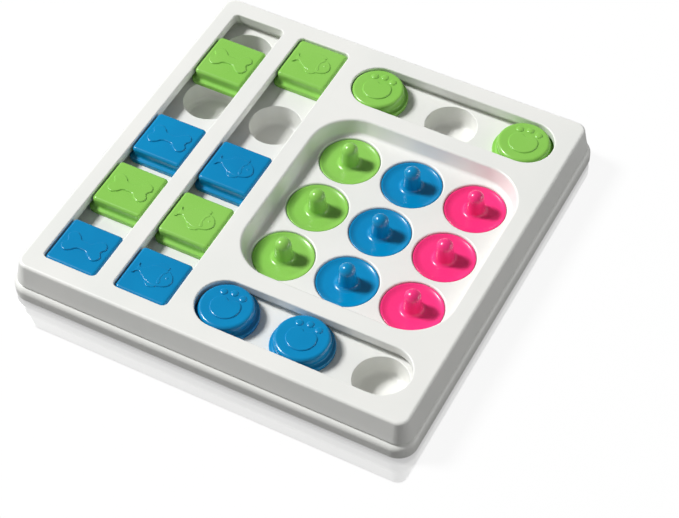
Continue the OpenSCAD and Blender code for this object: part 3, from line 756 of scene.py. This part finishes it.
# %% The lower side of a lid in section, and nine lids in their colours
RING, RING_LOW = 14.9, 13.2    # outer radius and lower edge of the ring
RING_WALL = 1.2
RING_EASE = 0.2
LID_EASE = 0.15      # chamfer of the lower edge of the rim
CEILING = 14.3       # lower side of the bowl inside the ring
HOLLOW, HOLLOW_TIP = 3.1, 0.5  # radius of the hollow in the knob, and rise of its blunt cone
lower_side = [
    (LID, SEAT_FLOOR + LID_EASE), (LID - LID_EASE, SEAT_FLOOR), (RING, SEAT_FLOOR),
    (RING, RING_LOW + RING_EASE), (RING - RING_EASE, RING_LOW),
    (RING - RING_WALL + RING_EASE, RING_LOW), (RING - RING_WALL, RING_LOW + RING_EASE),
    (RING - RING_WALL, CEILING), (HOLLOW, CEILING), (HOLLOW, KNOB_TOP - KNOB),
    (0, KNOB_TOP - KNOB + HOLLOW_TIP)]
for k, place in enumerate(lid_places):
    lid = bmesh.new()
    stamp(lid, turn(upper_side + lower_side, steps=80), [place])
    material, slot = (green, blue, (pink_abs, "pink_plastic"))[k // 3]
    finish_piece(f"treat_lid_{k + 1}_moulding", lid, material, [f"treat_lid_{k + 1}"])

# %% [markdown]
# ## Feet and screws
# Four rubber feet stop the board from creeping over the floor. Each is pressed into a post of the
# tray by its stem, and stands 2 mm proud of the rim. Six self-tapping screws go up through the
# deck and hold the cover. A screw is a turned section with the ridges of its thread, and the
# cross in its head is a flat outline that is pushed into the head.

# %% Turn the rubber feet
DIMPLE, DIMPLE_R = 0.35, 3.4   # depth and radius of the shallow hollow below a foot
DIMPLE_SLOPE = 0.4   # width of the slope round it
TREAD = 0.8          # rounding of its lower edge
FOOT_EASE = 0.1
foot_section = ([(0, DIMPLE), (DIMPLE_R, DIMPLE), (DIMPLE_R + DIMPLE_SLOPE, 0)]
                + arc(FOOT - TREAD, TREAD, TREAD, -90, 0, 4)
                + [(FOOT, FOOT_TOP - FOOT_EASE), (FOOT - FOOT_EASE, FOOT_TOP), (STEM, FOOT_TOP),
                   (STEM, STEM_TOP - EASE), (STEM - EASE, STEM_TOP), (0, STEM_TOP)])
feet = bmesh.new()
stamp(feet, turn(foot_section, steps=40), foot_places)
finish_piece("feet", feet, grey_tpr, ["rubber_feet"])

# %% Turn a screw with its thread
HEAD, HEAD_LOW, HEAD_TOP = 2.5, 13.2, 15.0    # radius of the head, its lower and its upper side
HEAD_EDGE = 0.8      # rounding of its lower edge
SHANK = 1.3          # radius over the thread
THREAD = 0.25        # depth of the thread
HALF_TURN = 0.45     # height from a ridge to the next groove
TIP, TIP_TOP = 0.3, 23.0       # radius and height of the blunt tip
thread = [(SHANK - THREAD * (k % 2), HEAD_TOP + HALF_TURN * k) for k in range(1, 17)]
screw_section = (arc(HEAD - HEAD_EDGE, HEAD_LOW + HEAD_EDGE, HEAD_EDGE, -90, 0, 4)
                 + [(HEAD, HEAD_TOP), (SHANK, HEAD_TOP)] + thread + [(TIP, TIP_TOP), (0, TIP_TOP)])
screw = turn(screw_section, steps=32)
print("points in the section of a screw:", len(screw_section))

# %% Press the cross into its head and place six screws
ARM, SLIM = 1.3, 0.28          # half the length and half the width of the cross
CROSS_DEEP = 1.0
SCREW_AT = 66.6      # screws between the square channels, from the middle of the board
cross = [(SLIM, SLIM), (ARM, SLIM), (ARM, -SLIM), (SLIM, -SLIM), (SLIM, -ARM), (-SLIM, -ARM),
         (-SLIM, -SLIM), (-ARM, -SLIM), (-ARM, SLIM), (-SLIM, SLIM), (-SLIM, ARM), (SLIM, ARM)]
outline = [screw.verts.new((x, y, HEAD_LOW)) for x, y in cross]
edges = [screw.edges.new(pair) for pair in zip(outline, outline[1:] + outline[:1])]
pushed = bmesh.ops.extrude_edge_only(screw, edges=edges)["geom"]
pushed = [piece for piece in pushed if isinstance(piece, bmesh.types.BMVert)]
bmesh.ops.translate(screw, verts=pushed, vec=(0, 0, CROSS_DEEP))
bmesh.ops.remove_doubles(screw, verts=screw.verts, dist=MERGE)
fill(screw, HEAD_LOW)
fill(screw, HEAD_LOW + CROSS_DEEP)

screw_places = [((bone_x + fish_x) / 2, side * SCREW_AT) for side in (-1, 1)] + [
    (dish_x + x * DISH_HALF[0], y * DISH_HALF[1]) for x in (-1, 1) for y in (-1, 1)]
screws = bmesh.new()
stamp(screws, screw, screw_places)
finish_piece("screws", screws, zinc_steel, ["case_screws"])

# %% [markdown]
# ## Floor and background
# The board is shown on white. A floor that is only white would lose the contact shadow that makes
# the board stand on something, so the camera sees a mixture: mostly plain white light, and partly
# a white floor that takes the shadow and mirrors the sides faintly. For the light that bounces
# back up to the board, the floor is an ordinary grey, so the sides of the board stay darker
# than its top. A studio hangs white cards so that a glossy floor mirrors white and not the dark
# room. The card here hangs just over the top of the board, all round it, and only mirrors see
# it, so the mirrored sides end in a clean line where the white begins.

# %% The floor
SHADOW_SHARE = 0.15
MIRROR_SHARE = 0.4
FLOOR_SIDE = 6.0     # metres

floor_mesh = bmesh.new()
bmesh.ops.create_grid(floor_mesh, x_segments=1, y_segments=1, size=FLOOR_SIDE / 2)
floor = show("floor", mesh_data("floor", floor_mesh))

paper = bpy.data.materials.new("white_studio_floor")
tree = empty_graph(paper)
ray = add(tree, "ShaderNodeLightPath")
grey = add(tree, "ShaderNodeBsdfDiffuse", {"Color": linear("#848484")})
matt = add(tree, "ShaderNodeBsdfDiffuse", {"Color": WHITE})
bright = add(tree, "ShaderNodeEmission", {"Color": WHITE, "Strength": 1.0})
mirror = add(tree, "ShaderNodeBsdfGlossy", {"Color": WHITE, "Roughness": 0.06})
shadowed = add(tree, "ShaderNodeMixShader", {0: SHADOW_SHARE, 1: bright.outputs[0], 2: matt.outputs[0]})
seen = add(tree, "ShaderNodeMixShader", {0: MIRROR_SHARE, 1: shadowed.outputs[0], 2: mirror.outputs[0]})
chosen = add(tree, "ShaderNodeMixShader", {
    0: ray.outputs["Is Camera Ray"], 1: grey.outputs[0], 2: seen.outputs[0]})
add(tree, "ShaderNodeOutputMaterial", {"Surface": chosen.outputs[0]})
floor.data.materials.append(paper)
print("floor side in metres:", FLOOR_SIDE)

# %% A white card for the floor to mirror
CARD = 28.0          # its height in millimetres, just over the cover
CARD_OUT = 1400.0    # how far it reaches past the centres of the board's corners, in millimetres
card_mesh = sweep([(TOP_CORNER - EDGE / 2, CARD), (CARD_OUT, CARD)], CORNER, CORNER, steps=6)
bmesh.ops.scale(card_mesh, vec=(MM, MM, MM), verts=card_mesh.verts)
card = show("mirror_card", mesh_data("mirror_card", card_mesh))
card.visible_camera = False
card.visible_diffuse = False
card.visible_shadow = False
card.visible_transmission = False

shine = bpy.data.materials.new("white_card")
tree = empty_graph(shine)
lit = add(tree, "ShaderNodeEmission", {"Color": WHITE, "Strength": 1.0})
add(tree, "ShaderNodeOutputMaterial", {"Surface": lit.outputs[0]})
card.data.materials.append(shine)
print("card faces:", len(card.data.polygons))

# %% [markdown]
# ## Light
# One large soft light stands on the left, a little to the front and about 48 degrees up, and
# throws the shadows of the knobs to the right. A long low one on the left draws bright lines
# along the rounded edges, and a weak one low on the right keeps the far side from going dark.
# The rest is a room that is pale near the floor and dim above, so that the glossy colours stay
# deep. The lamps are area lights, because their size sets how soft the shadows are, and they
# stand well back, so that the board is lit evenly from side to side.


# %% Lamps
def soft_light(name, direction, distance, size, power):
    """A rectangular lamp, in metres and watts, that shines on the middle of the board."""
    lamp = bpy.data.lights.new(name, "AREA")
    lamp.shape = "RECTANGLE"
    lamp.size, lamp.size_y = size
    lamp.energy = power
    held = show(name, lamp)
    held.location = Vector(direction).normalized() * distance
    held.rotation_euler = (-held.location).to_track_quat("-Z", "Y").to_euler()
    print(f"{name}: {distance} m away, {power} W")


soft_light("key_light", (-0.655, -0.115, 0.745), 6.0, (1.3, 1.3), 390.0)
soft_light("edge_light", (-0.95, 0.2, 0.28), 2.0, (1.4, 0.3), 3.0)
soft_light("fill_light", (0.90, 0.38, 0.16), 2.5, (2.0, 0.3), 14.0)

# %% The room
ROOM_LOW, ROOM_HIGH = 0.3, 0.15          # strength of the light near the floor and above
ROOM_FROM, ROOM_TO = 0.25, 0.55          # upward share of a direction, where it changes over

room = bpy.data.worlds.new("pale_room")
bpy.context.scene.world = room
tree = empty_graph(room)
ray = add(tree, "ShaderNodeLightPath")
way = add(tree, "ShaderNodeSeparateXYZ", {
    "Vector": add(tree, "ShaderNodeTexCoord").outputs["Generated"]})
strength = add(tree, "ShaderNodeMapRange", {
    "Value": way.outputs["Z"], "From Min": ROOM_FROM, "From Max": ROOM_TO,
    "To Min": ROOM_LOW, "To Max": ROOM_HIGH}, interpolation_type="SMOOTHSTEP")
shown = add(tree, "ShaderNodeMath", {
    0: ray.outputs["Is Camera Ray"], 1: ray.outputs["Is Transmission Ray"]}, operation="MAXIMUM")
dim = add(tree, "ShaderNodeBackground", {"Color": WHITE, "Strength": strength.outputs[0]})
white = add(tree, "ShaderNodeBackground", {"Color": WHITE, "Strength": 1.0})
both = add(tree, "ShaderNodeMixShader", {0: shown.outputs[0], 1: dim.outputs[0], 2: white.outputs[0]})
add(tree, "ShaderNodeOutputWorld", {"Surface": both.outputs[0]})
bpy.context.scene.view_settings.view_transform = "Standard"
print("room strength from", ROOM_LOW, "near the floor to", ROOM_HIGH, "above")

# %% [markdown]
# ## Camera
# The camera stands at the front right and looks down by 50 degrees, from about a metre away. Its
# place, its small tilt and its lens were worked out from the corners of the board in the
# photograph, whose sides are known to be 245 mm long.

# %% Camera
AZIMUTH, ELEVATION, ROLL = 0.495081, 0.879418, -0.015156     # radians
DISTANCE, LENS, SENSOR = 1.057645, 103.85, 36.0              # metres, millimetres, millimetres
AIM = Vector((0.037301, -0.035107, TOP * MM))                # metres
back = Vector((
    math.sin(AZIMUTH) * math.cos(ELEVATION), -math.cos(AZIMUTH) * math.cos(ELEVATION),
    math.sin(ELEVATION)))
level = Vector((0, 0, 1)).cross(back).normalized()
upright = back.cross(level)
right = math.cos(ROLL) * level + math.sin(ROLL) * upright
up = -math.sin(ROLL) * level + math.cos(ROLL) * upright
stand = AIM + back * DISTANCE
lens = bpy.data.cameras.new("camera")
lens.lens = LENS
lens.sensor_width = SENSOR
lens.clip_start = 0.01
lens.clip_end = 20.0
camera = show("camera", lens)
camera.matrix_world = Matrix((
    (right.x, up.x, back.x, stand.x), (right.y, up.y, back.y, stand.y),
    (right.z, up.z, back.z, stand.z), (0, 0, 0, 1)))
bpy.context.scene.camera = camera
print("camera at", [round(c, 3) for c in stand])

# %% [markdown]
# ## The last line
# At the end the scene is brought up to date once more.

# %% Finish
bpy.context.view_layer.update()
